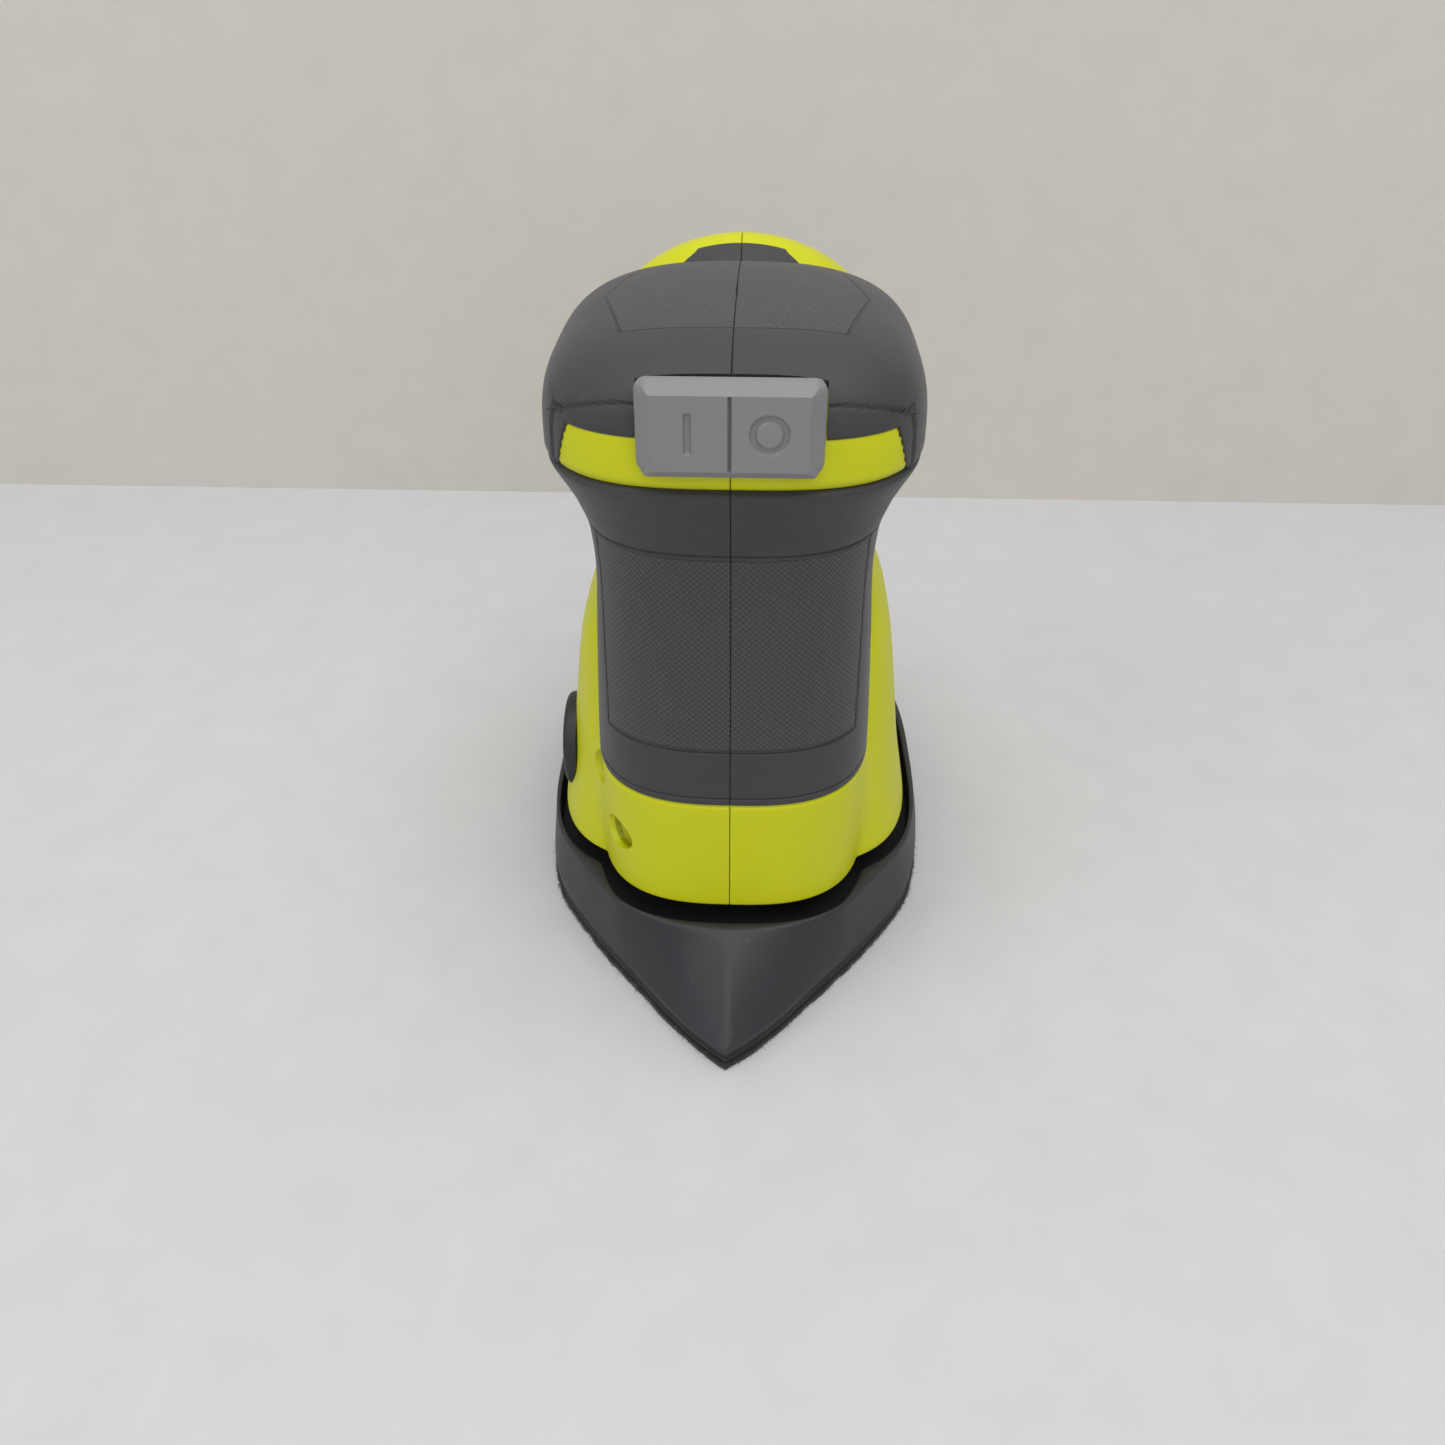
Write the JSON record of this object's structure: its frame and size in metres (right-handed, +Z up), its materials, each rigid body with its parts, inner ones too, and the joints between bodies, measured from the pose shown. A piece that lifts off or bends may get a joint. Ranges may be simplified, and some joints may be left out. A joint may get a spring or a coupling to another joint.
{
  "type": "cordless detail sander",
  "caption": "Cordless detail sander: upright rubber-gripped body with a rounded palm rest, front rocker switch and side dust port, over an iron-shaped orbiting hook-faced pad.",
  "frame": {"origin": "on the sanding face, on the motor shaft's axis", "axes": "+Z up from the sanding face, -Y towards the pad's point and the switch, +X towards the shell without screw recesses"},
  "size_m": [0.098, 0.1451, 0.1501],
  "materials": {
    "green_shell": "moulded ABS, fine spark texture",
    "grip_rubber": "thermoplastic rubber, woven texture panels",
    "black_nylon": "glass-filled nylon",
    "grey_nylon": "glass-filled nylon",
    "platen_nylon": "moulded, lightly scuffed",
    "pad_foam": "dense closed-cell foam",
    "hook_fabric": "woven hook fabric, frayed at the edge",
    "post_rubber": "moulded rubber",
    "switch_grey": "satin moulded",
    "brass": "plain",
    "copper": "enamelled wire and turned copper",
    "carbon": "pressed carbon",
    "magnet": "ferrite",
    "plated_steel": "zinc plated",
    "stack_steel": "stamped laminations",
    "bearing_steel": "ground",
    "screw_steel": "blackened",
    "cast_alloy": "die cast",
    "lead_red": "insulated lead",
    "lead_black": "insulated lead"
  },
  "bodies": {
    "housing": {"shell_right": "green_shell", "shell_left": "green_shell", "grip_right": "grip_rubber", "grip_left": "grip_rubber", "palm_rest_right": "grip_rubber", "palm_rest_left": "grip_rubber", "chassis": "black_nylon", "dust_port": "black_nylon", "battery_socket": "black_nylon", "terminal_block": "black_nylon", "contact_blades": "brass", "switch_body": "black_nylon", "shell_screws": "screw_steel", "supply_lead_right": "lead_red", "supply_lead_left": "lead_black", "motor_lead_right": "lead_red", "motor_lead_left": "lead_black", "motor_can": "plated_steel", "magnets": "magnet", "lower_bearing": "bearing_steel", "motor_end_cap": "black_nylon", "upper_bush": "brass", "brushes": "carbon", "flexible_posts": "post_rubber"},
    "rotor": {"motor_shaft": "bearing_steel", "armature": "stack_steel", "windings": "copper", "commutator": "copper", "fan": "grey_nylon", "drive_hub": "cast_alloy", "counterweight": "plated_steel", "hub_screw": "screw_steel", "pad_bearing_inner": "bearing_steel"},
    "pad": {"platen": "platen_nylon", "cushion": "pad_foam", "hook_face": "hook_fabric", "post_screws": "screw_steel", "pad_bearing_outer": "bearing_steel", "pad_bearing_balls": "bearing_steel"},
    "switch": {"switch_cap": "switch_grey", "rocker_lever": "black_nylon"}
  },
  "joints": [
    {"name": "rotor_spin", "type": "hinge", "parent": "housing", "child": "rotor", "pos_m": [0, 0, 0.047], "axis": [0, 0, 1], "continuous": true},
    {"name": "pad_orbit", "type": "hinge", "parent": "rotor", "child": "pad", "pos_m": [0.0008, 0, 0.016], "axis": [0, 0, 1], "continuous": true, "deforming": ["flexible_posts"]},
    {"name": "switch_rock", "type": "hinge", "parent": "housing", "child": "switch", "pos_m": [0, -0.0404, 0.137], "axis": [0, 0, 1], "range_deg": [-4, 4]}
  ],
  "couplings": [
    {"joint": "pad_orbit", "follows": "rotor_spin", "ratio": -1}
  ]
}
